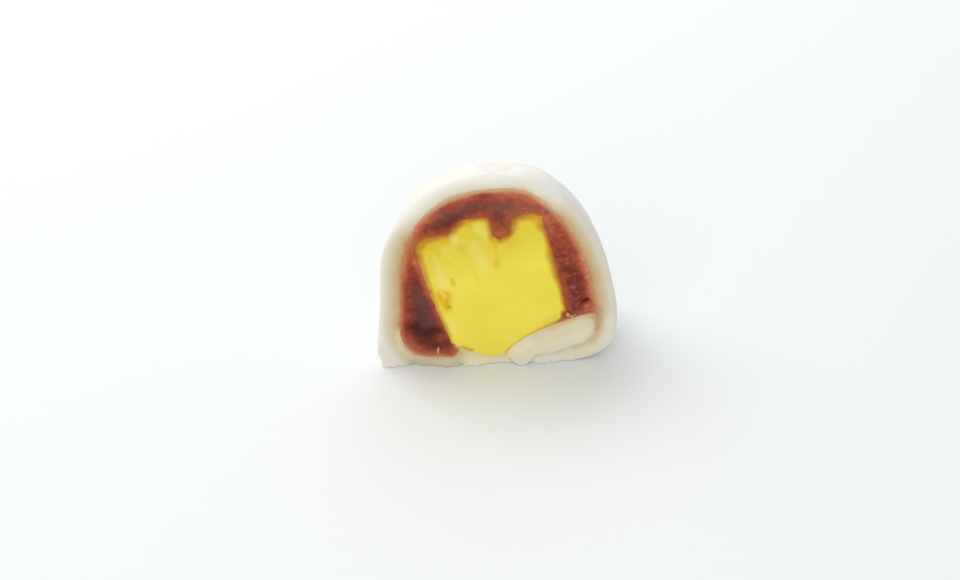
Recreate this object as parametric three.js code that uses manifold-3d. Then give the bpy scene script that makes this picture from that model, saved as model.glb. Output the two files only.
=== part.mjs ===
// Half of a fruit daifuku: a soft white rice skin round red bean paste with a chunk of pineapple in it.
// It stands on its flat underside with the cut to the front (-Y), up is +Z, and all lengths are millimetres.
import * as THREE from "three";
import { mergeVertices } from "three/addons/utils/BufferGeometryUtils.js";
import Module from "manifold-3d";

const wasm = await Module();
wasm.setup();

// Sizes
const HEIGHT = 50; // base to crown
const LEFT_REACH = 27.8; // from the middle of the base to the widest point on the left
const RIGHT_REACH = 28.3; // and on the right
const ROUND_BACK = 1; // how far the body runs back, as a share of its half width
const FULLNESS = 2.4; // of the round plan: 2 is a circle, more is squarer
const PASTE_HEIGHT = 46.7; // top of the paste at the cut
const PASTE_FLOOR = 2.1; // thickness of skin under the paste
const FRUIT_DEPTH = 14; // how far the pineapple runs back from the cut
const FRUIT_EDGE = 2; // rounding of its far edges
const GATHER_DEPTH = 7; // how far the gathered skin runs back along the floor
const FLAP_PROUD = 1.3; // how far the pulled flap of skin stands out of the cut
const FLAP_EDGE = 0.45; // rounding of its rim
const FOOT = [0.9, 1]; // how far the ragged foot of the cut spreads forward, and how tall it is
const GAP = 0.3; // clear space between one piece and the next

// Fineness
const STEPS = 4; // rows to each stretch of an outline
const TURNS = 64; // columns in a full turn
const CURVE_STEPS = 5; // chords to each curved stretch of a drawn outline
const EDGE_STEPS = 3; // chords to a rounded edge

// Outlines on the plane of the cut, x to the right and z up, from the middle of the underside
const SKIN = {
  bottom: [0, 0],
  left: [
    [-18, 0],
    [-26, 0],
    [-LEFT_REACH, 2.6],
    [-27.5, 8.6],
    [-26.3, 18.5],
    [-24.9, 29.8],
    [-20, 39.5],
    [-11.1, 47.5],
  ],
  top: [0.6, HEIGHT],
  right: [
    [11.7, 47.8],
    [19.6, 40.8],
    [24.5, 31.4],
    [27, 21.2],
    [RIGHT_REACH, 12],
    [27.3, 5.4],
    [23.2, 1.3],
    [17, 0],
  ],
};
const PASTE = {
  bottom: [0, PASTE_FLOOR],
  left: [
    [-11, PASTE_FLOOR],
    [-18.8, 3.2],
    [-22, 7.2],
    [-21.6, 16.8],
    [-20.3, 28],
    [-16.6, 38],
    [-9.2, 44.5],
  ],
  top: [1.6, PASTE_HEIGHT],
  right: [
    [9.7, 45.4],
    [16.2, 38],
    [21, 27.6],
    [22.9, 18.5],
    [23.4, 9.8],
    [20.6, 4.2],
    [11, PASTE_FLOOR],
  ],
};

// The pineapple: two humps with a notch of paste between them, straight slanting sides
function fruitOutline() {
  const s = new THREE.Shape();
  s.moveTo(-17, 31.8);
  s.quadraticCurveTo(-16.2, 34.6, -13, 35);
  s.quadraticCurveTo(-10.4, 35.2, -9.2, 35.8);
  s.quadraticCurveTo(-6.8, 39.5, -2, 39.7);
  s.quadraticCurveTo(0.7, 39.6, 0.4, 35.8);
  s.quadraticCurveTo(0.5, 34, 1.7, 33.5);
  s.quadraticCurveTo(3, 33.8, 4.3, 35.1);
  s.quadraticCurveTo(4.3, 39.9, 7.4, 40);
  s.quadraticCurveTo(11.7, 40.5, 12, 38.2);
  s.quadraticCurveTo(14.6, 28.6, 16.6, 13.8);
  s.lineTo(3.5, 4.6);
  s.quadraticCurveTo(1.6, 1.7, -1.3, 2);
  s.quadraticCurveTo(-4.8, 2.4, -8.2, 4.6);
  s.quadraticCurveTo(-9.8, 5.9, -10.4, 8.2);
  s.quadraticCurveTo(-14.6, 20.6, -17, 31.8);
  return s;
}

// Skin gathered up along the floor, under the pineapple and over the low right of the cut
function gatherOutline() {
  const s = new THREE.Shape();
  s.moveTo(-12, -3);
  s.lineTo(-9.2, 5);
  s.quadraticCurveTo(-4.8, 2.3, -1.3, 1.9);
  s.quadraticCurveTo(1.6, 1.6, 3.5, 4.5);
  s.lineTo(10.2, 8.9);
  s.quadraticCurveTo(15.8, 11.6, 25, 14);
  s.lineTo(25, -3);
  s.closePath();
  return s;
}

// The flap: the end of that gather, drawn out over the cut
function flapOutline() {
  const s = new THREE.Shape();
  s.moveTo(2, 3.6);
  s.quadraticCurveTo(5.2, 6.4, 9.4, 8.9);
  s.quadraticCurveTo(14.6, 11.6, 22.6, 14);
  s.quadraticCurveTo(23.4, 7.2, 20.3, 5.4);
  s.quadraticCurveTo(16.8, 4.2, 12.8, 2.5);
  s.quadraticCurveTo(8.8, 2.7, 7.9, 1.1);
  s.quadraticCurveTo(6.6, -0.7, 5, -0.2);
  s.quadraticCurveTo(2.6, 1.2, 2, 3.6);
  return s;
}

// A round-backed solid whose section on the cut is the given outline, grown by some millimetres.
// The section turns about the upright through the crown, from its right half at 0 to its left half at PI.
function dome(outline, grow) {
  const points = [outline.bottom, ...outline.left, outline.top, ...outline.right];
  const curve = new THREE.CatmullRomCurve3(
    points.map(([x, z]) => new THREE.Vector3(x, 0, z)),
    true,
    "centripetal",
  );
  const perSide = (outline.left.length + 1) * STEPS;
  const at = (k) => {
    const t = (((k / STEPS / points.length) % 1) + 1) % 1;
    const p = curve.getPoint(t);
    const d = curve.getTangent(t);
    return new THREE.Vector2(p.x - d.z * grow, Math.max(p.z + d.x * grow, outline.bottom[1] - grow));
  };
  const axis = THREE.MathUtils.lerp(outline.bottom[0], outline.top[0], 0.5);
  const positions = [];
  const faces = [];
  for (let row = 0; row <= perSide; row += 1) {
    const left = at(row);
    const right = at(2 * perSide - row);
    for (let col = 0; col < TURNS; col += 1) {
      const turn = (2 * Math.PI * col) / TURNS;
      const [across, along] = [Math.cos(turn), Math.sin(turn)];
      const toLeft = (1 - across) / 2;
      const reach = THREE.MathUtils.lerp(right.x - axis, axis - left.x, toLeft);
      const pole = row === 0 || row === perSide;
      positions.push(
        pole ? left.x : axis + reach * full(across),
        pole ? 0 : ROUND_BACK * reach * full(along),
        THREE.MathUtils.lerp(right.y, left.y, toLeft),
      );
      if (row === perSide) continue;
      const next = (col + 1) % TURNS;
      const [a, b] = [row * TURNS + col, row * TURNS + next];
      const [c, d] = [a + TURNS, b + TURNS];
      if (row > 0) faces.push(a, b, d);
      if (row < perSide - 1) faces.push(a, d, c);
    }
  }
  const g = new THREE.BufferGeometry();
  g.setAttribute("position", new THREE.Float32BufferAttribute(positions, 3));
  g.setIndex(faces);
  return solid(g);
}

// A sine or cosine pushed outwards, so that the plan is a little squarer than a circle
function full(v) {
  return Math.sign(v) * Math.abs(v) ** (2 / FULLNESS);
}

// A slab of a drawn outline between two depths, its edges rounded, grown by some millimetres
function slab(shape, front, back, edge, grow) {
  const line = shape.getPoints(CURVE_STEPS);
  if (line[0].distanceTo(line.at(-1)) < 1e-6) line.pop();
  if (THREE.ShapeUtils.area(line) < 0) line.reverse();
  const n = line.length;
  const outward = line.map((p, i) => {
    const before = p.clone().sub(line[(i + n - 1) % n]).normalize();
    const after = line[(i + 1) % n].clone().sub(p).normalize();
    const m = new THREE.Vector2(before.y + after.y, -before.x - after.x);
    return m.multiplyScalar(2 / Math.max(m.lengthSq(), 1));
  });
  const rings = [];
  for (let k = 0; k <= EDGE_STEPS; k += 1) {
    const turn = (k / EDGE_STEPS) * (Math.PI / 2);
    const inset = edge * (1 - Math.sin(turn));
    const depth = edge * (1 - Math.cos(turn));
    rings.splice(k, 0, [front + depth, inset], [back - depth, inset]);
  }
  rings.sort((a, b) => a[0] - b[0]);
  const positions = rings.flatMap(([y, inset]) =>
    line.flatMap((p, i) => [
      p.x + outward[i].x * (grow - inset),
      y,
      p.y + outward[i].y * (grow - inset),
    ]),
  );
  const far = (rings.length - 1) * n;
  const cap = THREE.ShapeUtils.triangulateShape(line, []);
  const faces = cap.flatMap(([a, b, c]) => [a, b, c, far + a, far + c, far + b]);
  for (let row = 0; row < far; row += n) {
    for (let i = 0; i < n; i += 1) {
      const [a, b] = [row + i, row + ((i + 1) % n)];
      faces.push(a, b + n, b, a, a + n, b + n);
    }
  }
  const g = new THREE.BufferGeometry();
  g.setAttribute("position", new THREE.Float32BufferAttribute(positions, 3));
  g.setIndex(faces);
  return solid(g);
}

// A low lobe of skin where the foot of the cut spreads on what it stands on
function lobe(x, halfWidth) {
  const [proud, tall] = FOOT;
  const g = new THREE.SphereGeometry(1, 16, 10);
  g.scale(halfWidth, proud + 1, tall);
  g.translate(x, 1, 0.3);
  return solid(g);
}

// A three.js geometry as a closed solid
function solid(geometry) {
  const bare = new THREE.BufferGeometry();
  bare.setAttribute("position", geometry.getAttribute("position"));
  if (geometry.index) bare.setIndex(geometry.index);
  const merged = mergeVertices(bare, 1e-4);
  const index = merged.index.array;
  const kept = [];
  for (let i = 0; i < index.length; i += 3) {
    const [a, b, c] = index.slice(i, i + 3);
    if (a !== b && b !== c && c !== a) kept.push(a, b, c);
  }
  return new wasm.Manifold(
    new wasm.Mesh({
      numProp: 3,
      vertProperties: new Float32Array(merged.attributes.position.array),
      triVerts: new Uint32Array(kept),
    }),
  );
}

// A block between two corners
function block(low, high) {
  const size = high.map((h, i) => h - low[i]);
  const g = new THREE.BoxGeometry(...size);
  g.translate(...low.map((l, i) => l + size[i] / 2));
  return solid(g);
}

function node(name, made, colour, roughness) {
  const m = made.getMesh();
  const g = new THREE.BufferGeometry();
  g.setAttribute("position", new THREE.Float32BufferAttribute(m.vertProperties, 3));
  g.setIndex([...m.triVerts]);
  g.computeVertexNormals();
  const material = new THREE.MeshStandardMaterial({ color: colour, roughness, metalness: 0 });
  const mesh = new THREE.Mesh(g, material);
  mesh.name = name;
  return mesh;
}

// What lies in front of the cut, or under the underside, is cut away
const inFront = block([-60, -80, -40], [60, 0, 90]);
const below = block([-60, -80, -40], [60, 80, 0]);

const fruitDepths = [-FRUIT_EDGE - 2, FRUIT_DEPTH];
const fruitRoom = slab(fruitOutline(), fruitDepths[0], fruitDepths[1] + GAP / 2, FRUIT_EDGE, GAP / 2);
const gather = slab(gatherOutline(), -3, GATHER_DEPTH, 1, 0);
const gatherRoom = slab(gatherOutline(), -3 - GAP, GATHER_DEPTH + GAP, 1, GAP);
const overCut = block([-60, -GAP, -40], [60, 80, 90]).subtract(gather);
const flap = slab(flapOutline(), -FLAP_PROUD, 1.6, FLAP_EDGE, 0).subtract(overCut);

const body = dome(SKIN, 0);
const room = dome(PASTE, GAP / 2).add(fruitRoom);
const skin = body
  .subtract(room)
  .add(gather.intersect(body))
  .subtract(inFront)
  .add(flap)
  .add(lobe(-11.6, 3.6))
  .add(lobe(-5.2, 2.9))
  .add(lobe(10.8, 3.8))
  .subtract(below);

const fruit = slab(fruitOutline(), fruitDepths[0], fruitDepths[1] - GAP / 2, FRUIT_EDGE, -GAP / 2)
  .subtract(gatherRoom)
  .subtract(inFront);
const paste = dome(PASTE, -GAP / 2)
  .subtract(fruitRoom)
  .subtract(gatherRoom)
  .subtract(inFront);

const part = new THREE.Group();
part.name = "pineapple_daifuku";
part.add(
  node("mochi_skin", skin, 0xe6e1d0, 0.6),
  node("bean_paste", paste, 0x7d4236, 0.7),
  node("pineapple", fruit, 0xe8d84c, 0.35),
);

// The origin is the middle of the underside of the whole piece's box
const box = new THREE.Box3().setFromObject(part);
const middle = box.getCenter(new THREE.Vector3());
for (const mesh of part.children) mesh.geometry.translate(-middle.x, -middle.y, -box.min.z);

export default part;
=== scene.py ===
import math

import bmesh
import bpy
import numpy as np
from mathutils import Matrix, Vector, noise
from mathutils.bvhtree import BVHTree


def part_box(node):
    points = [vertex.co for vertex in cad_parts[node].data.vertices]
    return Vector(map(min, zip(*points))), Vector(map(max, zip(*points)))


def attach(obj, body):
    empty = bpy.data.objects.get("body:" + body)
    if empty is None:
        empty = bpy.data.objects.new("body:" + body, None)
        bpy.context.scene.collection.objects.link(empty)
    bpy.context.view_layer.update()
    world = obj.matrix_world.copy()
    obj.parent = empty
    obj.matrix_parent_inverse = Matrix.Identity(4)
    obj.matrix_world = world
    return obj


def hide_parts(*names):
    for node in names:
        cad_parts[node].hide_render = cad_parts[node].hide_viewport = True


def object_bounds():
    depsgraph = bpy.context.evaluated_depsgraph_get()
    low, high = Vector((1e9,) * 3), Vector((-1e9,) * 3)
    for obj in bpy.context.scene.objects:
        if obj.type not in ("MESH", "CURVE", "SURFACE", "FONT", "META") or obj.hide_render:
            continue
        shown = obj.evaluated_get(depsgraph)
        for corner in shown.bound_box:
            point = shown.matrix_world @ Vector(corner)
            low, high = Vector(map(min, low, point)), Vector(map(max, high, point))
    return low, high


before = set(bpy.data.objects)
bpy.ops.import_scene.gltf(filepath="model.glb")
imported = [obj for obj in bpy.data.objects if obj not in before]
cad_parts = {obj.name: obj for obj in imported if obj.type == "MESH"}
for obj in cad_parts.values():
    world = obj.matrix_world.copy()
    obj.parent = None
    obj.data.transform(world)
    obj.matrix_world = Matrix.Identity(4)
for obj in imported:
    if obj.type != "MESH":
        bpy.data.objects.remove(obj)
cad_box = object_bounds()
scene = bpy.context.scene

MM = 0.001  # sizes below are millimetres
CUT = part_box("pineapple")[0].y / MM  # where the plane of the cut is, along Y

# Fineness of the rebuilt surfaces
SKIN_VOXEL = 0.4
PASTE_VOXEL = 0.35
FRUIT_VOXEL = 0.3

# Distances between the pieces
BEHIND = 2  # how deep behind the cut they are measured
JUST_INSIDE = 1.2  # how deep inside a CAD solid they still count as below 0

# The cut, and how the pieces meet at it
PLANED = 3  # how deep behind its plane the surfaces are drawn to it
CRISP = 0.7  # how much of that depth the knife left flat, right up to a piece's rim
TOUCH = 0.15  # how far pieces grow inside, to touch their neighbours
LIP = 1.6  # how deep behind the cut they spread sideways to meet at it, and how far at most
LIP_FADES = 0.8  # over how much of that depth the spread begins
SKIN_GROWS = 0.15
PASTE_GROWS = 0.75  # a little under its neighbours' rims
FRUIT_GROWS = 0.2
FRUIT_LEFT = 0.7  # how much more the fruit spreads along its left edge
FRUIT_LOW = 1.0  # and down to the flap
FLAP_THINS = 0.7  # share of the flap's thickness lost towards the filling
SINK = 0.03  # how far the paste lies behind its neighbours
PASTE_DIVES = 0.6  # how steeply it falls away under the fruit's rim
SMEAR_RISES = 0.2  # how far it lies before the skin where it is wiped over it
SOAKED = 0.2  # how much nearer the paste seems to the dough that it has soaked

# Ragged foot of the cut: place along X, half width, reach forward, height
FOOT = [
    (-26.1, 1.5, 0.5, 1.0),
    (-24.6, 1.5, 0.4, 0.8),
    (-14.2, 1.5, 0.8, 0.7),
    (-12.3, 1.2, 1.2, 0.8),
    (-9.9, 1.3, 0.9, 0.7),
    (-7.4, 1.2, 1.3, 0.8),
    (-5, 1.1, 1.5, 0.8),
    (-2.6, 1.0, 0.5, 0.6),
    (9.2, 1.4, 1.0, 0.9),
    (11.4, 1.1, 0.8, 0.8),
    (13.6, 1.2, 0.6, 0.7),
    (16.8, 1.4, 0.3, 0.8),
]
FOOT_BACK, FOOT_HIGH = 1, 0.25  # the middle of each lump, behind the cut and above the table
NUB = ((-26.4, CUT + 0.5, 19.4), 0.6)  # a scrap of dough on the left edge: its middle and its radius

CRUMBS = [(16.7, 12.9, 0.85), (17.6, 12.4, 0.75), (18.3, 12.8, 0.55), (19, 12.6, 0.5)]  # x, z and radius
CRUMB_SHAPE = (1, 0.8, 0.7)
CRUMB_PROUD = 0.1  # how far before the cut their middles lie
SLIVER = ((-13.9, CUT + 0.25, 4), 0.1, (0.42, 0.38, 1.25))  # its middle, its lean and its half sizes

# Marks on the cut, each a line of points (x, z), how wide it fades and how strong it is
STAINS = [  # orange paste juice in the crease round the folded flap
    ([(23.3, 14), (23.5, 10.8), (23.3, 8.8)], 1.3, 0.78),
    ([(23.3, 8.8), (22.9, 7), (22, 5.6)], 1.3, 0.45),
    ([(22, 5.6), (20, 4.3), (17.6, 3.6)], 0.8, 0.28),
    ([(17.6, 3.6), (14.4, 2.9), (12.6, 2.6)], 0.7, 0.1),
]
JUICE = [  # and yellow juice further down it
    ([(23.6, 8.4), (23, 6.6), (21.8, 5), (19.6, 4)], 1.5, 0.42),
    ([(24.2, 12), (24.2, 8)], 1.2, 0.2),
]
FLAP = [([(6, 5), (12, 7), (20.5, 10)], 2.8, 1)]  # the folded flap itself
CREAM = [  # thick dough low in the bun, soaked a little
    ([(-23, 9.4), (-22.6, 5), (-20, 2.2), (-16, 1.4)], 1.2, 0.6),
    ([(-16, 1.2), (-8, 1.2), (0, 1.4), (6, 1.4)], 1.6, 0.6),
    ([(5.5, 3.6), (9, 4.6), (13, 6), (19.4, 8.6)], 3, 0.7),
    ([(16, 1.8), (22, 3)], 1.6, 0.6),
    ([(25.4, 8), (25.6, 14)], 1.6, 0.3),
]
FOOT_SHADE = [([(-20, 1.4), (-14, 0.6), (-9.6, 0.9)], 1.4, 0.35)]  # painted shade, grey-green, on the dough low under the paste
FLAP_BLUSH = [  # paste rubbed off on its upper edge
    ([(15.6, 11.5), (17.2, 11.9), (19.4, 12.4), (22.2, 13.2)], 0.5, 0.62),
    ([(12.6, 9.7), (13.6, 10.1), (15.6, 11.3)], 0.5, 0.75),
    ([(5, 3.4), (6.2, 4.4)], 1.2, 0.08),
]
DARK_PASTE = [  # thick and moist, but for a painted shadow line by the fruit and thin dark lines along the top
    ([(13.4, 9.6), (14.6, 10.6), (16.2, 12.2)], 0.35, 0.6),
    ([(-14.2, 36.2), (-10.6, 38.3), (-7.2, 40)], 1.7, 0.54),
    ([(-7.2, 40), (-4, 42), (0.4, 42.6), (4.4, 41.8)], 1.5, 0.46),
    ([(-10, 38.2), (-7.6, 39.4)], 1.3, 0.6),
    ([(-18, 28), (-17.8, 25.6)], 1.8, 0.1),
    ([(-17.8, 25.6), (-17.6, 23)], 2.3, 0.27),
    ([(-17.6, 23), (-17.5, 20)], 2.6, 0.46),
    ([(-17.5, 20), (-17.2, 16)], 2.8, 0.64),
    ([(-17.2, 16), (-16.6, 12.4)], 3, 0.74),
    ([(-16.6, 12.4), (-16, 8)], 3, 0.84),
    ([(-19, 10.8), (-17, 9.6), (-15.6, 9.2), (-13.8, 9.8)], 2, 0.92),
    ([(-19.2, 11), (-18, 7.2), (-16, 5.6), (-12, 5.4)], 1.6, 0.66),
    # painted shadow: a thin dark line on the paste along the fruit's lower left edge
    ([(-12.8, 9.8), (-11.9, 7), (-10.3, 4.3)], 0.6, 0.55),
    # thin dark lines along the top, where the paste meets the skin
    ([(-3.6, 45), (-2, 45.2), (-0.6, 44.8)], 0.7, 0.3),
    ([(0.6, 43.2), (2.6, 42.9), (4.4, 42.5)], 0.5, 0.4),
    ([(1.8, 39.6), (2.1, 38)], 1.4, 0.5),
    ([(12.9, 40.6), (13.5, 40.1)], 0.7, 0.5),
    ([(16.2, 28.6), (17, 26.8), (17.8, 25)], 1.4, 0.3),
    ([(16.8, 24.6), (18.2, 24), (19.2, 22.4)], 1.7, 0.48),
    ([(17.8, 21.4), (18.8, 19.2), (18.6, 16.8), (18.2, 14.2)], 2, 0.42),
    ([(17.6, 13.2), (18.8, 13.1)], 0.6, 0.45),
    ([(12.8, 36.6), (15.4, 33.4), (17.2, 29.4)], 1.6, 0.1),
    ([(13.4, 33.2), (14.2, 30.4), (14.8, 28)], 0.5, 0.4),
]
LIGHT_PASTE = [  # thin over the skin, smeared by the knife or dry
    ([(-13.6, 40.6), (-17, 36.6), (-19, 32.4)], 1.5, 0.55),
    ([(-19, 32.4), (-20.1, 28.6), (-20.3, 24.4)], 1.3, 0.62),
    ([(-18.2, 33.4), (-17.2, 31.4)], 1.3, 0.6),
    ([(-20.6, 9.4), (-19.8, 5.8), (-17, 4), (-13.4, 3.3), (-11, 3.4)], 0.6, 0.2),
    ([(-10, 44), (-6, 44.6), (-4, 44.4)], 1.1, 0.6),
    ([(1.4, 45.9), (4.8, 45.2)], 0.9, 0.75),
    ([(4.8, 45.2), (8, 44.4), (11.6, 42.4)], 0.9, 0.4),
    ([(8.6, 43.2), (9.6, 42.8)], 0.6, 0.55),
    ([(12.2, 38.9), (13.3, 36.8), (14.3, 34.4)], 0.8, 0.5),
    ([(16, 27.2), (17.2, 26.7)], 0.35, 0.6),
    ([(16.3, 23.5), (17.3, 23)], 0.35, 0.8),
    ([(20.2, 27.6), (21.4, 23.6), (21.8, 18.6)], 0.9, 0.55),
    ([(21.7, 16.8), (21.3, 14.8)], 0.6, 0.75),
    ([(20.1, 15.1), (21.1, 14.6)], 0.5, 0.75),
    ([(-17.4, 28.6), (-16.7, 25.6), (-15.7, 22.4), (-14.9, 19)], 0.9, 0.85),
    ([(-14.9, 19), (-13.6, 13.6), (-12.9, 10.4)], 0.6, 0.5),
    ([(13, 10.4), (16.8, 12)], 0.9, 0.9),
    ([(0, 43.8), (2.6, 43.8)], 0.9, 0.6),
    ([(-19.8, 24.2), (-18.2, 24.4)], 0.3, 0.4),
    ([(-19.9, 22.9), (-18.4, 23.1)], 0.3, 0.4),
    ([(-13.2, 5.8), (-12.4, 5.4)], 0.6, 0.5),
]
SHEEN_PASTE = [  # painted reflection: where it is thick, wet and smooth it mirrors the daylight a little
    ([(-17.4, 19), (-16.6, 15.4), (-15.8, 12.4)], 2.2, 0.12),
    ([(-12, 39.6), (-7, 41.4), (-1, 42.4), (4.6, 41.4)], 1.6, 0.11),
]
AMBER_PASTE = [  # soaked with juice beside the fruit
    ([(-19.2, 31), (-17.8, 33.2), (-15.2, 34.6), (-13.4, 35.8)], 1.1, 0.6),
    ([(1.3, 35.6), (1.3, 37.4)], 1, 0.45),
    ([(-18.4, 31.4), (-17.6, 29), (-17, 27)], 0.7, 0.5),
    ([(0.9, 35.2), (2.6, 34.8), (4, 35.4)], 1, 0.85),
    ([(12.2, 10.2), (14.2, 11.3), (16, 12.8)], 0.8, 0.8),
    ([(16, 22.4), (16.4, 18.6), (16.6, 15)], 0.8, 0.35),
    ([(-16.6, 26), (-15.2, 20)], 0.7, 0.6),
    ([(-12.9, 12), (-12.1, 9.4), (-11.6, 7.6)], 0.4, 0.5),
]
SMEARED = [([(-11.8, 3.2), (-10.4, 3.3), (-9.3, 4)], 0.8, 1)]  # where the paste is wiped over the skin
PITS = [  # holes in the paste, painted deep red as shade: a line, its width, and how deep it is
    ([(20.2, 15.5), (21.2, 16.1)], 0.62, 1),
    ([(16.2, 12), (16.5, 11.5)], 0.4, 0.5),
    ([(-1, 44.4), (1.6, 43.8)], 0.8, 0.25),
]
FRUIT_GOLD = [  # riper, clearer flesh
    ([(-12.8, 19.2), (-12, 17.4), (-11.2, 16)], 1.2, 0.95),
    ([(-9.6, 23.4), (-9.3, 22.4), (-9.05, 21.5)], 0.3, 0.9),
    ([(1.2, 33.9), (1.1, 32.6)], 0.8, 0.9),
    ([(1, 32.4), (0.8, 29.6)], 0.5, 0.45),
    ([(0.9, 28.2), (0.8, 26.2)], 0.8, 0.6),
    ([(-7.3, 32.1), (-6.8, 31.5)], 0.8, 0.55),
    ([(-5.5, 38.8), (-4.6, 37.4)], 0.6, 0.9),
    ([(-15, 31.6), (-13.6, 32.4), (-10.4, 33.4)], 1.1, 0.55),
    ([(9.4, 39.2), (10.8, 38)], 1.2, 0.6),
    ([(5.4, 6.6), (8.6, 8.4), (12.2, 10.6)], 0.5, 0.4),
    ([(-11, 16.6), (-10.4, 18.8)], 0.9, 0.9),
    ([(3.2, 33), (5.4, 32.2)], 1.2, 0.4),
    ([(-14.4, 30), (-13.6, 27.4)], 0.8, 0.35),
]
FRUIT_PALE = [  # bundles of paler fibres
    ([(-13, 27.6), (-12.2, 25.4)], 1.1, 0.4),
    ([(-11.8, 23.8), (-11.5, 22)], 1, 0.75),
    ([(-8.6, 34.3), (-7.6, 32.9)], 1, 0.55),
    ([(-3, 36.6), (-1.2, 35)], 1.2, 0.35),
    ([(-4.2, 32.4), (-2.8, 30.2)], 1.2, 0.3),
    ([(-2.7, 28.2), (-1.5, 26.2)], 1, 0.5),
    ([(-10.2, 12.4), (-9.8, 9)], 0.8, 0.35),
]
FRUIT_TAN = [  # the fruit's left edge, scraped by the knife
    ([(-16.9, 27.6), (-16, 24.4), (-15, 21.2)], 0.8, 0.8),
    ([(-14.8, 19.6), (-13.4, 15.2), (-12, 11.2)], 0.45, 0.55),
    ([(-12, 11.2), (-11, 8)], 0.4, 0.4),
]
FRUIT_BROWN = [  # tears between the fibres, edges browned by the paste, and painted shade in the crack at its foot
    ([(-11.2, 19.9), (-10.8, 19.3)], 0.35, 0.4),
    ([(-10.95, 17.9), (-10.9, 17.5)], 0.3, 0.5),
    ([(-10.7, 16.1), (-10.6, 15.7)], 0.3, 0.5),
    ([(-15.8, 32.2), (-14.6, 33.6), (-12.4, 34.6)], 0.9, 0.5),
    # painted shade in the crack between the fruit's foot and the dough
    ([(-8.3, 5.1), (-7.4, 4.5), (-6, 3.9)], 0.3, 0.6),
    ([(-8.8, 37.2), (-6.6, 38.6), (-4.6, 38.6)], 0.8, 0.3),
    ([(-5.9, 39.3), (-5.4, 38.6)], 0.35, 0.6),
    ([(12.6, 8.9), (13.4, 9.6)], 0.3, 0.5),
    ([(13.4, 9.6), (14.6, 10.6), (16.2, 12.2)], 0.35, 0.9),
]


# Measuring

CELLS_PER_SWELL = 1.6  # cells of the noise to one rise and fall
SEED_STEP = (17.3, 5.1, 11.7)  # how far apart in the noise two seeds read it
WAVER_SIZE = 1.8  # how long the waver and the worn places of a mark are
TURNED_IN = -0.5  # the cosine under which a point lies behind the face nearest to it
SAME_PLACE = 1e-6  # metres between corners that are one


def joined(node):
    """A CAD node's loose triangles as one closed shell."""
    bm = bmesh.new()
    bm.from_mesh(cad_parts[node].data)
    bmesh.ops.remove_doubles(bm, verts=bm.verts, dist=SAME_PLACE)
    return bm


def tree_of(node):
    bm = joined(node)
    tree = BVHTree.FromBMesh(bm)
    bm.free()
    return tree


NEAR = {node: tree_of(node) for node in ("mochi_skin", "bean_paste", "pineapple")}


def away(co, node):
    """How far each point, in millimetres, is from the surface of a CAD node, and below 0 just inside it.
    Near the cut it is measured a little behind the cut, where only the sides of the node are near."""
    gaps = np.zeros(len(co))
    for i, (x, y, z) in enumerate(co):
        p = Vector((x, max(y, CUT + BEHIND), z)) * MM
        at, normal, _, gap = NEAR[node].find_nearest(p)
        inward = (p - at).dot(normal) < TURNED_IN * gap
        gaps[i] = -gap if inward and gap < JUST_INSIDE * MM else gap
    return gaps / MM


def ramp(value, low, high):
    """0 below low and 1 above high, eased between them."""
    t = np.clip((value - low) / (high - low), 0, 1)
    return t * t * (3 - 2 * t)


def lumps(co, size, seed):
    """Smooth noise from 0 to 1 that rises and falls about once in size millimetres."""
    shift = seed * np.array(SEED_STEP)
    return np.array([0.5 + 0.5 * noise.noise(Vector(p)) for p in co / size * CELLS_PER_SWELL + shift])


def drawn(co, marks, waver=0.4, wear=0.0):
    """How strongly the cut carries the marks, whose lines waver a little and may be worn."""
    sway = np.stack([lumps(co, WAVER_SIZE, 41), lumps(co, WAVER_SIZE, 42)], axis=1)
    here = co[:, [0, 2]] + 2 * waver * (sway - 0.5)
    total = np.zeros(len(co))
    for line, width, strength in marks:
        gap = np.full(len(co), np.inf)
        for a, b in zip(line[:-1], line[1:]):
            a, b = np.array(a), np.array(b)
            along = np.clip((here - a) @ (b - a) / ((b - a) @ (b - a)), 0, 1)
            gap = np.minimum(gap, np.linalg.norm(here - a - along[:, None] * (b - a), axis=1))
        total = np.maximum(total, strength * np.exp(-((gap / width) ** 2)))
    if wear:
        total *= 1 - wear + 2 * wear * lumps(co, WAVER_SIZE, 43)
    return total


# Working a piece

def fine_shell(name, bm, voxel):
    """The closed shells in bm as one even, fine surface."""
    mesh = bpy.data.meshes.new(name)
    bm.to_mesh(mesh)
    bm.free()
    piece = bpy.data.objects.new(name, mesh)
    scene.collection.objects.link(piece)
    grid = piece.modifiers.new("grid", "REMESH")
    grid.mode = "VOXEL"
    grid.voxel_size = voxel * MM
    graph = bpy.context.evaluated_depsgraph_get()
    fine = bpy.data.meshes.new_from_object(piece.evaluated_get(graph))
    piece.modifiers.clear()
    piece.data = fine
    fine.name = name
    return piece


def softened(piece, chosen, passes):
    """Softens the chosen vertices of a piece, where chosen is an array of true and false."""
    bm = bmesh.new()
    bm.from_mesh(piece.data)
    bm.verts.ensure_lookup_table()
    verts = [bm.verts[i] for i in np.flatnonzero(chosen)]
    along = {"use_axis_x": True, "use_axis_y": True, "use_axis_z": True}
    for _ in range(passes):
        bmesh.ops.smooth_vert(bm, verts=verts, factor=0.5, **along)
    bm.to_mesh(piece.data)
    bm.free()


def shape_of(piece):
    """Vertex places in millimetres, and their normals."""
    count = len(piece.data.vertices)
    co, normal = np.zeros(count * 3), np.zeros(count * 3)
    piece.data.vertices.foreach_get("co", co)
    piece.data.vertices.foreach_get("normal", normal)
    return co.reshape(-1, 3) / MM, normal.reshape(-1, 3)


def spread(co, normal, reach):
    """The surface moved out to touch its neighbours: by reach at the cut, but never forward through it."""
    sideways = normal * np.array([1, 0, 1])
    by_cut = ramp(CUT + LIP - co[:, 1], 0, LIP_FADES)[:, None]
    return co + np.clip(reach, 0, LIP)[:, None] * sideways * by_cut + TOUCH * normal * (1 - by_cut)


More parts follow.
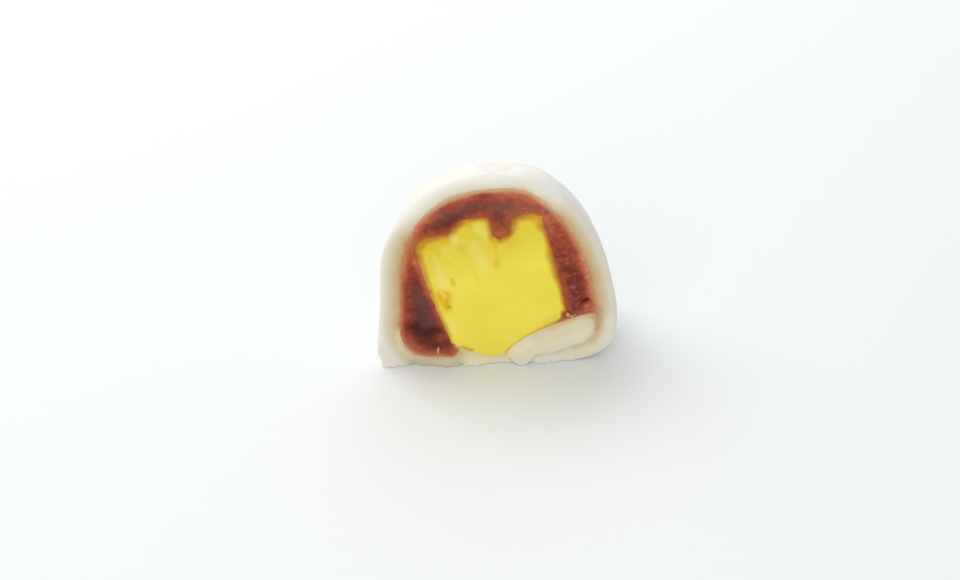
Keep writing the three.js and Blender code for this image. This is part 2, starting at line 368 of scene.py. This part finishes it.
def planed(co, crisp, pushed):
    """Draws the cut side to its plane, crisp at the rim, and sets it back by the depths given as pushed."""
    back = co[:, 1] - CUT
    flat = np.where(back < crisp, np.minimum(back, 0), (back - crisp) * PLANED / (PLANED - crisp))
    set_back = flat + pushed * (1 - ramp(flat, 0, PLANED))
    co[:, 1] = CUT + np.where(back < PLANED, set_back, back)


def settle(piece, co):
    """Puts the worked places back, kept on the table and inside the CAD model's box."""
    low, high = (np.array(corner) / MM for corner in cad_box)
    co = np.clip(co, low, high)
    piece.data.vertices.foreach_set("co", (co * MM).ravel())
    piece.data.update()
    piece.data.polygons.foreach_set("use_smooth", np.ones(len(piece.data.polygons), bool))


def paint(piece, **fields):
    """Keeps each field as a vertex attribute for the material."""
    for name, values in fields.items():
        layer = piece.data.attributes.new(name, "FLOAT", "POINT")
        layer.data.foreach_set("value", np.clip(values, 0, 1).astype(np.float32))


def dress(piece, node, made):
    piece.data.materials.clear()
    piece.data.materials.append(made)
    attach(piece, "root")
    if node:
        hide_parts(node)


def rolling(co):
    """How far behind its plane the knife left the cut, in slow and quick swells that all pieces share."""
    flat = co * np.array([1, 0, 1])
    return 0.35 * lumps(flat, 16, 1) + 0.1 * lumps(flat, 5, 2)


def soaked(co):
    """Where the paste has coloured the dough beside it: along the left shoulder, and some on the right."""
    left = (1 - ramp(co[:, 0], -16, -12)) * ramp(co[:, 2], 20, 24) * (1 - ramp(co[:, 2], 34, 38))
    right = ramp(co[:, 0], 14, 17) * ramp(co[:, 2], 21, 23) * (1 - ramp(co[:, 2], 25, 28))
    return left + 0.85 * right


# Materials

SHARE, UNDER, OVER, MIXED = 0, 6, 7, 2  # sockets of a mix of colours, the last one where it comes out
VALUE, LOW, HIGH, TO_LOW, TO_HIGH = range(5)  # sockets of a map range
NOISE = {LOW: 0.3, HIGH: 0.7}  # the range that noise mostly keeps to
EASED = {"interpolation_type": "SMOOTHSTEP"}
COLOURS = {"data_type": "RGBA"}
CELL_WIDTH = 1.6  # of a noise texture, in widths of the patches that it shows


def linear(code):
    """An sRGB hex colour as a shader takes it."""
    parts = [int(code[i:i + 2], 16) / 255 for i in (0, 2, 4)]
    return (*[c / 12.92 if c <= 0.04045 else ((c + 0.055) / 1.055) ** 2.4 for c in parts], 1)


def patches(size):
    """The scale of a noise texture whose patches are about size millimetres across."""
    return 1 / (CELL_WIDTH * size * MM)


def add(tree, kind, inputs=None, out=0, stops=None, **settings):
    """One node with its settings: inputs are plain values or other nodes' outputs, each by the name or the
    number of its socket, and one output comes back. The stops of a colour ramp are places from 0 to 1 with
    their hex colours."""
    node = tree.nodes.new("ShaderNode" + kind)
    for key, value in settings.items():
        setattr(node, key, value)
    for key, value in (inputs or {}).items():
        if isinstance(value, bpy.types.NodeSocket):
            tree.links.new(value, node.inputs[key])
        else:
            node.inputs[key].default_value = value
    if stops:
        marks = node.color_ramp.elements
        while len(marks) < len(stops):
            marks.new(1)
        for one, (at, code) in zip(marks, stops):
            one.position, one.color = at, linear(code)
    return node.outputs[out] if node.outputs else None


def surface(name):
    made = bpy.data.materials.new(name)
    made.use_nodes = True
    made.node_tree.nodes.clear()
    return made, made.node_tree


def rice_dough():
    """Steamed glutinous rice dough, patted with potato starch. Where it is cut it is milky and a little
    see-through, so the filling warms its inner edge, beside the fruit with a painted glow; outside it is
    dull, with cloudy patches of starch."""
    made, tree = surface("steamed_rice_dough")
    place = add(tree, "TexCoord", out="Object")

    # The cut, from the dough that the paste has coloured to the white dough under the skin
    uneven = add(tree, "TexNoise", {"Vector": place, "Scale": patches(2.2), "Detail": 3})
    uneven = add(tree, "MapRange", {VALUE: uneven, **NOISE, TO_LOW: -0.05, TO_HIGH: 0.05})
    from_paste = add(tree, "Attribute", out="Fac", attribute_name="from_paste")
    depth = add(tree, "Math", {0: from_paste, 1: uneven}, operation="ADD")
    sides = add(tree, "ValToRGB", {"Fac": depth}, stops=[
        (0, "A86A46"), (0.06, "B67C54"), (0.12, "C08F62"), (0.2, "C8A273"), (0.3, "CAB082"),
        (0.4, "CBBA92"), (0.5, "CDC29E"), (0.6, "D0C8AA"), (0.7, "D6CFBB"), (0.84, "DDD6C6"),
        (1, "E0DACC"),
    ])
    crown = add(tree, "ValToRGB", {"Fac": depth}, stops=[
        (0, "D4B088"), (0.06, "D9BF9A"), (0.12, "DCCCAC"), (0.2, "E0D6BE"), (0.3, "E4DDCC"),
        (0.4, "E7E2D5"), (0.6, "E9E6DC"), (1, "ECE9E1"),
    ])
    by_top = add(tree, "Attribute", out="Fac", attribute_name="crown")
    colour = add(tree, "Mix", {SHARE: by_top, UNDER: sides, OVER: crown}, MIXED, **COLOURS)
    # Two washes are painted light: the yellow one is a painted glow from the fruit, laid with yellow juice,
    # and the grey-green one is painted shade low under the paste
    washes = (
        ("cream", "E4DAB6"), ("fruit_glow", "E2CE7C"), ("damp", "A9A287"), ("blush", "DEB48E"),
        ("stain", "C29066"),
    )
    for name, code in washes:
        share = add(tree, "Attribute", out="Fac", attribute_name=name)
        colour = add(tree, "Mix", {SHARE: share, UNDER: colour, OVER: linear(code)}, MIXED, **COLOURS)

    # The outside: starch in cloudy patches. Its grains are drawn far coarser than real ones, so they show.
    cloud = add(tree, "TexNoise", {"Vector": place, "Scale": patches(5.5), "Detail": 4, "Distortion": 0.8})
    warm = add(tree, "TexNoise", {"Vector": place, "Scale": patches(14), "Detail": 2})
    powder = add(tree, "TexNoise", {"Vector": place, "Scale": patches(0.7), "Detail": 3})
    outer = add(tree, "ValToRGB", {"Fac": cloud}, stops=[
        (0.3, "DFDCD0"), (0.46, "E5E2D8"), (0.58, "EBE9E2"), (0.7, "F1F0EA"),
    ])
    warmth = add(tree, "MapRange", {VALUE: warm, LOW: 0.5, HIGH: 0.75, TO_LOW: 0, TO_HIGH: 0.3}, **EASED)
    outer = add(tree, "Mix", {SHARE: warmth, UNDER: outer, OVER: linear("E6DECE")}, MIXED, **COLOURS)
    grains = add(tree, "MapRange", {VALUE: powder, LOW: 0.52, HIGH: 0.7, TO_LOW: 0, TO_HIGH: 0.3}, **EASED)
    outer = add(tree, "Mix", {SHARE: grains, UNDER: outer, OVER: linear("F4F2EC")}, MIXED, **COLOURS)
    starch = add(tree, "Attribute", out="Fac", attribute_name="starch")
    colour = add(tree, "Mix", {SHARE: starch, UNDER: colour, OVER: outer}, MIXED, **COLOURS)

    rough = add(tree, "MapRange", {VALUE: starch, LOW: 0, HIGH: 1, TO_LOW: 0.42, TO_HIGH: 0.8})
    bump = add(tree, "Bump", {"Strength": 0.7, "Distance": 0.06 * MM, "Height": powder})
    shader = add(tree, "BsdfPrincipled", {
        "Base Color": colour, "Roughness": rough, "Normal": bump, "IOR": 1.45, "Specular IOR Level": 0.35,
        "Subsurface Weight": 0.3, "Subsurface Radius": (1, 0.85, 0.6), "Subsurface Scale": 2 * MM,
    })
    add(tree, "OutputMaterial", {"Surface": shader})
    return made


def red_bean_paste():
    """Sieved red bean paste, pressed by hand and cut with a wet knife: dull, from nearly maroon where it is
    thick and moist to a dry orange brown where it is smeared thin, with a fine mealy grain."""
    made, tree = surface("sieved_red_bean_paste")
    place = add(tree, "TexCoord", out="Object")

    # Its meal is drawn coarser than it is, so that it shows. Its smears run level, as they were pressed.
    meal = add(tree, "TexNoise", {"Vector": place, "Scale": patches(0.55), "Detail": 4})
    laid = add(tree, "Mapping", {"Vector": place, "Scale": (0.4, 1, 1)})
    smear = add(tree, "TexNoise", {"Vector": laid, "Scale": patches(1.5), "Detail": 3, "Distortion": 0.4})
    cloud = add(tree, "TexNoise", {"Vector": place, "Scale": patches(4), "Detail": 3, "Distortion": 0.6})
    tone = add(tree, "Attribute", out="Fac", attribute_name="tone")
    for grain, most in ((meal, 0.05), (smear, 0.04), (cloud, 0.035)):
        part = add(tree, "MapRange", {VALUE: grain, **NOISE, TO_LOW: -most, TO_HIGH: most})
        tone = add(tree, "Math", {0: tone, 1: part}, operation="ADD")
    colour = add(tree, "ValToRGB", {"Fac": tone}, stops=[
        (0, "30100C"), (0.18, "53211A"), (0.35, "743023"), (0.5, "943F2C"), (0.64, "AE5135"),
        (0.78, "BC6848"), (0.9, "C6825F"), (1, "CE9C78"),
    ])

    # Pale specks and scratches where it is dry
    speck = add(tree, "MapRange", {VALUE: meal, LOW: 0.52, HIGH: 0.7, TO_LOW: 0, TO_HIGH: 0.28}, **EASED)
    scratch = add(tree, "TexNoise", {"Vector": laid, "Scale": patches(1.2), "Detail": 2, "Distortion": 0.3})
    scratch = add(tree, "Math", {0: scratch, 1: 0.5}, operation="SUBTRACT")
    scratch = add(tree, "Math", {0: scratch}, operation="ABSOLUTE")
    scratch = add(tree, "MapRange", {VALUE: scratch, LOW: 0, HIGH: 0.03, TO_LOW: 0.08, TO_HIGH: 0}, **EASED)
    speck = add(tree, "Math", {0: speck, 1: scratch}, operation="MAXIMUM")
    dry = add(tree, "Attribute", out="Fac", attribute_name="dry")
    speck = add(tree, "Math", {0: speck, 1: dry}, operation="MULTIPLY")
    colour = add(tree, "Mix", {SHARE: speck, UNDER: colour, OVER: linear("C0836E")}, MIXED, **COLOURS)

    # the grey wash is a painted reflection of the daylight, and the deep red one is painted shade in the
    # holes
    for name, code in (("amber", "B4642C"), ("veil", "D0AA80"), ("sheen", "96827E"), ("pit", "741A08")):
        share = add(tree, "Attribute", out="Fac", attribute_name=name)
        colour = add(tree, "Mix", {SHARE: share, UNDER: colour, OVER: linear(code)}, MIXED, **COLOURS)
    rough = add(tree, "MapRange", {VALUE: smear, **NOISE, TO_LOW: 0.45, TO_HIGH: 0.65})
    bump = add(tree, "Bump", {"Strength": 0.8, "Distance": 0.1 * MM, "Height": meal})
    shader = add(tree, "BsdfPrincipled", {
        "Base Color": colour, "Roughness": rough, "Normal": bump, "IOR": 1.42, "Specular IOR Level": 0.18,
        "Subsurface Weight": 0.1, "Subsurface Radius": (1, 0.4, 0.25), "Subsurface Scale": 1 * MM,
    })
    add(tree, "OutputMaterial", {"Surface": shader})
    return made


def ripe_pineapple():
    """Ripe pineapple flesh, sliced wet: a clear lemon yellow crossed by fine paler fibres, amber where it
    is thin and stained by the paste along its edges, with a low juicy shine."""
    made, tree = surface("ripe_pineapple_flesh")
    place = add(tree, "TexCoord", out="Object")

    # The flesh: fibres five times as long as wide, leaning with the chunk, and slow changes between them
    along = {"Vector": place, "Rotation": (0, -0.5, 0), "Scale": (1, 1, 5)}
    along = add(tree, "Mapping", along, vector_type="TEXTURE")
    fibre = add(tree, "TexNoise", {"Vector": along, "Scale": patches(1.2), "Detail": 3, "Distortion": 0.3})
    cloud = add(tree, "TexNoise", {"Vector": place, "Scale": patches(8), "Detail": 2})
    body = add(tree, "MapRange", {VALUE: cloud, LOW: 0.35, HIGH: 0.65, TO_LOW: 0, TO_HIGH: 1}, **EASED)
    body = add(tree, "Mix", {SHARE: body, UNDER: linear("ECD94A"), OVER: linear("F0DE55")}, MIXED, **COLOURS)
    upper = add(tree, "Attribute", out="Fac", attribute_name="upper")
    body = add(tree, "Mix", {SHARE: upper, UNDER: body, OVER: linear("DCC636")}, MIXED, **COLOURS)
    fibrous = add(tree, "Attribute", out="Fac", attribute_name="fibrous")
    most = add(tree, "Math", {0: fibrous, 1: 0.2, 2: 0.05}, operation="MULTIPLY_ADD")
    strands = add(tree, "MapRange", {VALUE: fibre, LOW: 0.48, HIGH: 0.72, TO_LOW: 0, TO_HIGH: most}, **EASED)
    body = add(tree, "Mix", {SHARE: strands, UNDER: body, OVER: linear("F0E184")}, MIXED, **COLOURS)
    gullies = add(tree, "MapRange", {VALUE: fibre, LOW: 0.5, HIGH: 0.3, TO_LOW: 0, TO_HIGH: most}, **EASED)
    body = add(tree, "Mix", {SHARE: gullies, UNDER: body, OVER: linear("DCC430")}, MIXED, **COLOURS)

    # Its rim, from the stained edge to the clear flesh
    ragged = add(tree, "TexNoise", {"Vector": place, "Scale": patches(1.4), "Detail": 3})
    ragged = add(tree, "MapRange", {VALUE: ragged, **NOISE, TO_LOW: -0.09, TO_HIGH: 0.09})
    rim = add(tree, "Attribute", out="Fac", attribute_name="rim")
    rim = add(tree, "Math", {0: rim, 1: ragged}, operation="ADD")
    edge = add(tree, "ValToRGB", {"Fac": rim}, stops=[
        (0, "9C5628"), (0.13, "B06E2E"), (0.3, "C2862E"), (0.47, "CFA232"), (0.63, "DABB38"),
        (0.83, "E2CB40"), (1, "EAD646"),
    ])
    inner = add(tree, "MapRange", {VALUE: rim, LOW: 0.6, HIGH: 1, TO_LOW: 0, TO_HIGH: 1}, **EASED)
    colour = add(tree, "Mix", {SHARE: inner, UNDER: edge, OVER: body}, MIXED, **COLOURS)
    washes = (
        ("pale", "EDDE80"), ("gold", "DEB41C"), ("milk", "E6D890"), ("tan", "D9A050"), ("brown", "B06810"),
    )
    for name, code in washes:
        share = add(tree, "Attribute", out="Fac", attribute_name=name)
        colour = add(tree, "Mix", {SHARE: share, UNDER: colour, OVER: linear(code)}, MIXED, **COLOURS)

    rough = add(tree, "MapRange", {VALUE: fibre, **NOISE, TO_LOW: 0.42, TO_HIGH: 0.58})
    bump = add(tree, "Bump", {"Strength": 0.5, "Distance": 0.05 * MM, "Height": fibre})
    shader = add(tree, "BsdfPrincipled", {
        "Base Color": colour, "Roughness": rough, "Normal": bump, "IOR": 1.36, "Specular IOR Level": 0.2,
        "Subsurface Weight": 0.25, "Subsurface Radius": (1, 0.8, 0.15), "Subsurface Scale": 1.5 * MM,
    })
    add(tree, "OutputMaterial", {"Surface": shader})
    return made


def smeared_dough():
    """A scrap of dough rolled in paste by the knife: pinkish and dull."""
    made, tree = surface("smeared_dough")
    place = add(tree, "TexCoord", out="Object")
    grain = add(tree, "TexNoise", {"Vector": place, "Scale": patches(0.5), "Detail": 2})
    colour = add(tree, "ValToRGB", {"Fac": grain}, stops=[(0.35, "C07C54"), (0.65, "DBA27C")])
    bump = add(tree, "Bump", {"Strength": 0.8, "Distance": 0.05 * MM, "Height": grain})
    shader = add(tree, "BsdfPrincipled", {
        "Base Color": colour, "Roughness": 0.5, "Normal": bump, "IOR": 1.45,
    })
    add(tree, "OutputMaterial", {"Surface": shader})
    return made


# Pieces

def torn_foot(bm):
    """Adds the lumps of dough along the foot of the cut, and the scrap on its left edge."""
    for x, half, reach, tall in FOOT:
        sits = Vector((x, CUT + FOOT_BACK, FOOT_HIGH)) * MM
        size = Vector((half, FOOT_BACK + reach, tall)) * MM
        lump = Matrix.LocRotScale(sits, None, size)
        bmesh.ops.create_icosphere(bm, subdivisions=3, radius=1, matrix=lump)
    at, radius = NUB
    ball = Matrix.Translation(Vector(at) * MM)
    bmesh.ops.create_icosphere(bm, subdivisions=2, radius=radius * MM, matrix=ball)


def pressed_edge(piece):
    """Softens the dough all over, and most round the cut, where the knife pressed its outer edge down."""
    co, _ = shape_of(piece)
    filling = np.minimum(away(co, "bean_paste"), away(co, "pineapple"))
    off_table, by_cut = co[:, 2] > 0.2, co[:, 1] - CUT < 5
    off_filling, off_foot = filling > 1.7, co[:, 2] > 6
    softened(piece, off_table, 6)
    softened(piece, by_cut & off_filling & off_foot, 50)


def rice_skin():
    bm = joined("mochi_skin")
    torn_foot(bm)
    piece = fine_shell("rice_skin", bm, SKIN_VOXEL)
    pressed_edge(piece)
    co, normal = shape_of(piece)
    back = co[:, 1] - CUT
    paste, fruit = away(co, "bean_paste"), away(co, "pineapple")
    filling = np.minimum(paste, fruit)
    inside = (filling < 0.8) & (back > 0.8)

    # The outside, dented by the fingers that closed it
    facing = ramp(-normal[:, 1], 0.55, 0.9) * ramp(-back, -1.6, -0.6)
    outside = (1 - facing) * ~inside * ramp(co[:, 2], 0.3, 4)
    dents = 0.42 * lumps(co, 17, 3) + 0.08 * lumps(co, 6, 4) + 0.035 * lumps(co, 2, 5) - 0.2
    co -= normal * (dents * outside)[:, None]

    # The rim round the filling, torn along the left half of the flap
    rim = 1 - ramp(filling, 0.8, 2)
    torn = 0.5 * (lumps(co, 1.3, 7) - 0.4) * ramp(co[:, 0], 3, 5) * (1 - ramp(co[:, 0], 11, 14))
    reach = rim * (SKIN_GROWS + torn - away(co, "mochi_skin"))
    co = np.where((inside | (back < PLANED))[:, None], spread(co, normal, reach), co)

    # The cut, and the flap in it: pressed thin towards the filling, and swelling a little beside the fruit
    flap = ramp(drawn(co, FLAP, 0), 0.2, 0.6)
    co[:, 1] -= FLAP_THINS * np.minimum(back, 0) * flap * (1 - ramp(filling, 0.2, 2.4))
    raised = flap * ramp(fruit, 0.3, 1.6) * (0.3 - 0.22 * lumps(co, 3, 8))
    uneven = 0.06 * lumps(co, 2.2, 6) * (1 - rim) - raised
    crisp = (CRISP + 0.5 * flap) * rim
    planed(co, crisp, (rolling(co) + uneven) * ramp(co[:, 2], 0.2, 1.5))

    # Its ragged foot, with one bay in it near the left end
    by_foot = (1 - ramp(co[:, 2], 0.3, 1.7)) * (back < 2.5)
    ragged = 0.7 * (lumps(co * np.array([1, 0, 0.5]), 1.1, 9) - 0.5) * (1 - ramp(co[:, 0], 14, 17))
    bay = 0.7 * np.exp(-(((co[:, 0] + 20) / 1.6) ** 2))
    co[:, 1] += by_foot * (ragged + bay)
    settle(piece, co)

    on_cut = 1 - ramp(back, 0.8, 2)
    seems = np.maximum(paste - SOAKED * soaked(co), 0)
    # painted glow: the fruit's yellow light in the dough beside it, weaker on the front of the flap
    glow = 0.85 * np.exp(-np.maximum(fruit - 0.3, 0) / 0.9) * (1 - 0.7 * flap * ramp(-back, 0.4, 0.9))
    paint(
        piece,
        from_paste=np.where(back < 3, np.maximum(seems / 5, 0.6 * flap), 1),
        crown=ramp(co[:, 2] - 0.25 * np.maximum(co[:, 0], 0), 33, 42),
        cream=drawn(co, CREAM),
        # painted glow from the fruit, laid with the yellow juice
        fruit_glow=np.maximum(glow, drawn(co, JUICE)) * on_cut,
        blush=drawn(co, FLAP_BLUSH) * on_cut,
        # painted shade, grey-green, low on the cut under the paste
        damp=drawn(co, FOOT_SHADE) * on_cut,
        stain=drawn(co, STAINS) * on_cut * ramp(back, -0.9, -0.4),
        starch=ramp(back, 0.5, 3) * ~inside,
    )
    dress(piece, "mochi_skin", rice_dough())


def bean_paste():
    piece = fine_shell("paste", joined("bean_paste"), PASTE_VOXEL)
    softened(piece, np.ones(len(piece.data.vertices), bool), 5)
    co, normal = shape_of(piece)
    co = spread(co, normal, PASTE_GROWS - away(co, "bean_paste"))
    skin, fruit = away(co, "mochi_skin"), away(co, "pineapple")

    # The cut side, mealy and torn away from its rims, and drawn down under the fruit
    under = away(co, "bean_paste") * (co[:, 1] < CUT + PLANED)
    dive = 0.08 * np.maximum(under - 0.1, 0) + PASTE_DIVES * np.maximum(-fruit - 0.05, 0) * (under > 0)
    middle = ramp(np.minimum(skin, fruit), 0.3, 1.8)
    flat = co * np.array([1, 0, 1])
    turned = flat @ np.array(Matrix.Rotation(0.5, 3, "Y")) * np.array([0.4, 1, 1])
    dips = 0.35 * lumps(flat, 4.5, 11) + 0.2 * lumps(turned, 1.5, 12)
    pits, light, smeared = drawn(co, PITS, 0.2), drawn(co, LIGHT_PASTE, 0.4, 0.35), drawn(co, SMEARED)
    torn = middle * dips + pits - 0.1 * light * middle
    planed(co, CRISP, SINK + rolling(co) + dive + torn - SMEAR_RISES * smeared)
    settle(piece, co)

    dark = drawn(co, DARK_PASTE, 0.6, 0.12)
    rim = np.maximum(skin - 0.3, 0)
    by_skin = 0.08 * np.exp(-rim / 1.4) + 0.16 * np.exp(-rim / 0.4)
    crown = ramp(co[:, 2], 37, 43)
    over_crown = 0.9 * (1 - ramp(rim, 0, 1.5))
    low = 0.16 * np.exp(-rim / 1.2) * (1 - ramp(co[:, 2], 5, 11))
    thin = (0.45 - 0.18 * (1 - ramp(co[:, 0], -16, -12))) * (1 - 0.8 * soaked(co)) * np.exp(-rim / 0.35)
    dusty = 0.07 * ramp(co[:, 0], -2, 6) * ramp(co[:, 2], 34, 39)
    by_fruit = 0.6 * np.exp(-np.maximum(fruit, 0) / 0.5)
    paint(
        piece,
        tone=0.54 - 0.46 * dark + 0.3 * light + by_skin * (1 - 0.4 * dark),
        veil=crown * over_crown + ((1 - crown) * thin + low) * (1 - smeared) + dusty,
        amber=np.maximum(drawn(co, AMBER_PASTE, 0.4, 0.2), by_fruit),
        # painted reflection of the daylight
        sheen=drawn(co, SHEEN_PASTE),
        # painted shade in the holes
        pit=pits * 1.3,
        dry=0.15 + 0.85 * ramp(co[:, 0], 0, 12),
    )
    dress(piece, "bean_paste", red_bean_paste())


def fruit_reach(co, normal):
    """How far each side of the chunk spreads at the cut, its edge a little frayed."""
    x, z = co[:, 0], co[:, 2]
    to_left, down = ramp(-normal[:, 0], 0.2, 0.6), ramp(-normal[:, 2], 0.2, 0.6)
    left = FRUIT_LEFT * to_left * ramp(z, 3, 6) * (1 - 0.5 * ramp(z, 18, 28))
    by_corner = FRUIT_LOW * ramp(x, 8.5, 12) * (1 - ramp(x, 12.8, 16))
    before_it = ramp(x, -9, -6) * (0.4 + 0.5 * ramp(x, 2, 5)) * (1 - ramp(x, 8.5, 12))
    frayed = 0.5 * (lumps(co, 1.4, 23) - 0.5) + 0.25 * (lumps(co, 0.7, 24) - 0.5)
    return FRUIT_GROWS + left + down * (by_corner + before_it) + frayed


def stained_rim(x, z, paste, skin):
    """How far each point of the fruit is from its stained rim: 0 on it, and 1 where the flesh is clear."""
    right = ramp(x, 2, 5)
    by_right = 1.2 + 0.9 * (1 - ramp(z, 19, 24)) + 0.5 * ramp(z, 28, 32) - 0.75 * ramp(z, 33.5, 36)
    by_left = 1.35 + 0.6 * (1 - ramp(z, 20, 29)) - 0.4 * (1 - ramp(x, -8, -5)) * ramp(z, 27, 31)
    steep = right * by_right + (1 - right) * by_left
    grown = FRUIT_LEFT * (1 - ramp(x, -8, -4)) * (1 - ramp(z, 18, 28)) + 0.06 * (1 - right)
    grown += (1 - ramp(x, -14, -10)) * 0.5 * ramp(z, 18, 28)
    grown += (1 - ramp(x, -8, -4)) * (0.2 * (1 - ramp(z, 14, 20)) + 0.5 * (1 - ramp(z, 5, 11)))
    by_flap = 0.85 * (1 - ramp(skin, 2.7, 3.6)) * ramp(x, 4, 8) * (1 - ramp(x, 14.6, 15.6))
    return np.maximum((paste + grown - 0.1) * steep / 3, by_flap)


def pineapple_chunk():
    piece = fine_shell("pineapple_chunk", joined("pineapple"), FRUIT_VOXEL)
    softened(piece, np.ones(len(piece.data.vertices), bool), 8)
    co, normal = shape_of(piece)
    co = spread(co, normal, fruit_reach(co, normal) - away(co, "pineapple"))
    paste, skin = away(co, "bean_paste"), away(co, "mochi_skin")
    x, z = co[:, 0], co[:, 2]
    fibrous = (1 - ramp(x, -1, 3)) * ramp(z + 0.5 * x, 16, 24)

    # The cut side, grooved along its fibres and a hair lower than the dough beside it
    flat = co * np.array([1, 0, 1])
    turned = flat @ np.array(Matrix.Rotation(-0.5, 3, "Y")) * np.array([1, 1, 0.25])
    middle = ramp(np.minimum(paste, skin), 0.2, 1.6)
    brown, tan = drawn(co, FRUIT_BROWN, 0.3, 0.5), drawn(co, FRUIT_TAN, 0.3, 0.2)
    pale, gold = drawn(co, FRUIT_PALE, 0.5, 0.35), drawn(co, FRUIT_GOLD, 0.5, 0.25)
    grooves = (0.04 + 0.16 * fibrous) * lumps(turned, 1.1, 22)
    dips = 0.18 * lumps(flat, 6, 21) + grooves + 0.1 * gold - 0.08 * pale
    under = 0.04 * (1 - ramp(skin, 0.05, 0.35))
    crisp = CRISP + 0.6 * (1 - ramp(skin, 0.6, 1.5))
    planed(co, crisp, rolling(co) + middle * dips + 0.08 * brown + under)
    settle(piece, co)

    by_skin = np.maximum(skin, 0)
    paint(
        piece,
        rim=stained_rim(x, z, paste, skin),
        upper=0.8 * ramp(z - 0.3 * x, 22, 35),
        pale=pale,
        gold=np.maximum(gold, 0.3 * np.exp(-by_skin / 0.5)),
        milk=0.55 * np.exp(-by_skin / 0.4) * (1 - ramp(x, 2, 5)),
        tan=tan,
        brown=brown,
        fibrous=fibrous,
    )
    dress(piece, "pineapple", ripe_pineapple())


def scraps():
    """Small crumbs the knife left, each turned its own way, and a sliver of skin on the paste."""
    bm = bmesh.new()
    for x, z, radius in CRUMBS:
        at, size = Vector((x, CUT - CRUMB_PROUD, z)) * MM, Vector(CRUMB_SHAPE) * radius * MM
        place = Matrix.LocRotScale(at, Matrix.Rotation(x, 3, "Y"), size)
        bmesh.ops.create_icosphere(bm, subdivisions=3, radius=1, matrix=place)
    at, lean, size = SLIVER
    place = Matrix.LocRotScale(Vector(at) * MM, Matrix.Rotation(lean, 3, "Y"), Vector(size) * MM)
    bmesh.ops.create_icosphere(bm, subdivisions=3, radius=1, matrix=place)
    mesh = bpy.data.meshes.new("scraps")
    bm.to_mesh(mesh)
    bm.free()
    piece = bpy.data.objects.new("scraps", mesh)
    scene.collection.objects.link(piece)
    co, normal = shape_of(piece)
    co -= normal * (0.5 * lumps(co, 0.8, 31) - 0.1)[:, None]
    settle(piece, co)
    dress(piece, None, smeared_dough())


# The table, the light and the camera

TABLE_HALF = 6  # metres, as are the places and sizes of the lamps; their strengths are watts


def table():
    bm = bmesh.new()
    bmesh.ops.create_grid(bm, x_segments=1, y_segments=1, size=TABLE_HALF)
    mesh = bpy.data.meshes.new("table_top")
    bm.to_mesh(mesh)
    bm.free()
    top = bpy.data.objects.new("table_top", mesh)
    scene.collection.objects.link(top)
    made, tree = surface("matt_white_board")
    shader = add(tree, "BsdfPrincipled", {"Base Color": linear("E6E9E7"), "Roughness": 0.9})
    add(tree, "OutputMaterial", {"Surface": shader})
    top.data.materials.append(made)


def lamp(name, at, aim, size, watts):
    light = bpy.data.lights.new(name, "AREA")
    light.size = size
    light.energy = watts
    stand = bpy.data.objects.new(name, light)
    stand.location = at
    stand.rotation_euler = (Vector(aim) - Vector(at)).to_track_quat("-Z", "Y").to_euler()
    scene.collection.objects.link(stand)


def daylight():
    world = bpy.data.worlds.new("pale_room")
    world.use_nodes = True
    sky = world.node_tree.nodes["Background"]
    sky.inputs["Color"].default_value = linear("FAFBFF")
    sky.inputs["Strength"].default_value = 0.62
    scene.world = world
    middle = (0, 0, 0.02)
    lamp("window", (-0.5, 0.35, 0.8), middle, 0.7, 4.7)
    lamp("fill", (-0.1, -0.7, 0.4), middle, 0.8, 2.4)
    lamp("behind", (0.05, 0.55, 0.5), (0.05, 0.36, 0), 0.5, 1.1)


EYE = (17.28, -405.12, 265.62)
TURN, RISE, ROLL = 3, 32, -3.75  # degrees
FOCAL, SENSOR = 75.75, 36
NEAREST = 0.01  # metres


def camera():
    """The photograph's view: a little from the right, looking down, slightly rolled."""
    turn, rise, roll = math.radians(TURN), math.radians(RISE), math.radians(ROLL)
    back = Vector((math.sin(turn) * math.cos(rise), -math.cos(turn) * math.cos(rise), math.sin(rise)))
    level = (-back).cross(Vector((0, 0, 1))).normalized()
    upright = level.cross(-back)
    right = level * math.cos(roll) + upright * math.sin(roll)
    top = upright * math.cos(roll) - level * math.sin(roll)
    lens = bpy.data.cameras.new("camera")
    lens.sensor_width = SENSOR
    lens.lens = FOCAL
    lens.clip_start = NEAREST
    eye = bpy.data.objects.new("camera", lens)
    eye.matrix_world = Matrix((right, top, back)).transposed().to_4x4()
    eye.location = Vector(EYE) * MM
    scene.collection.objects.link(eye)
    scene.camera = eye


rice_skin()
bean_paste()
pineapple_chunk()
scraps()
table()
daylight()
camera()
scene.view_settings.view_transform = "Standard"
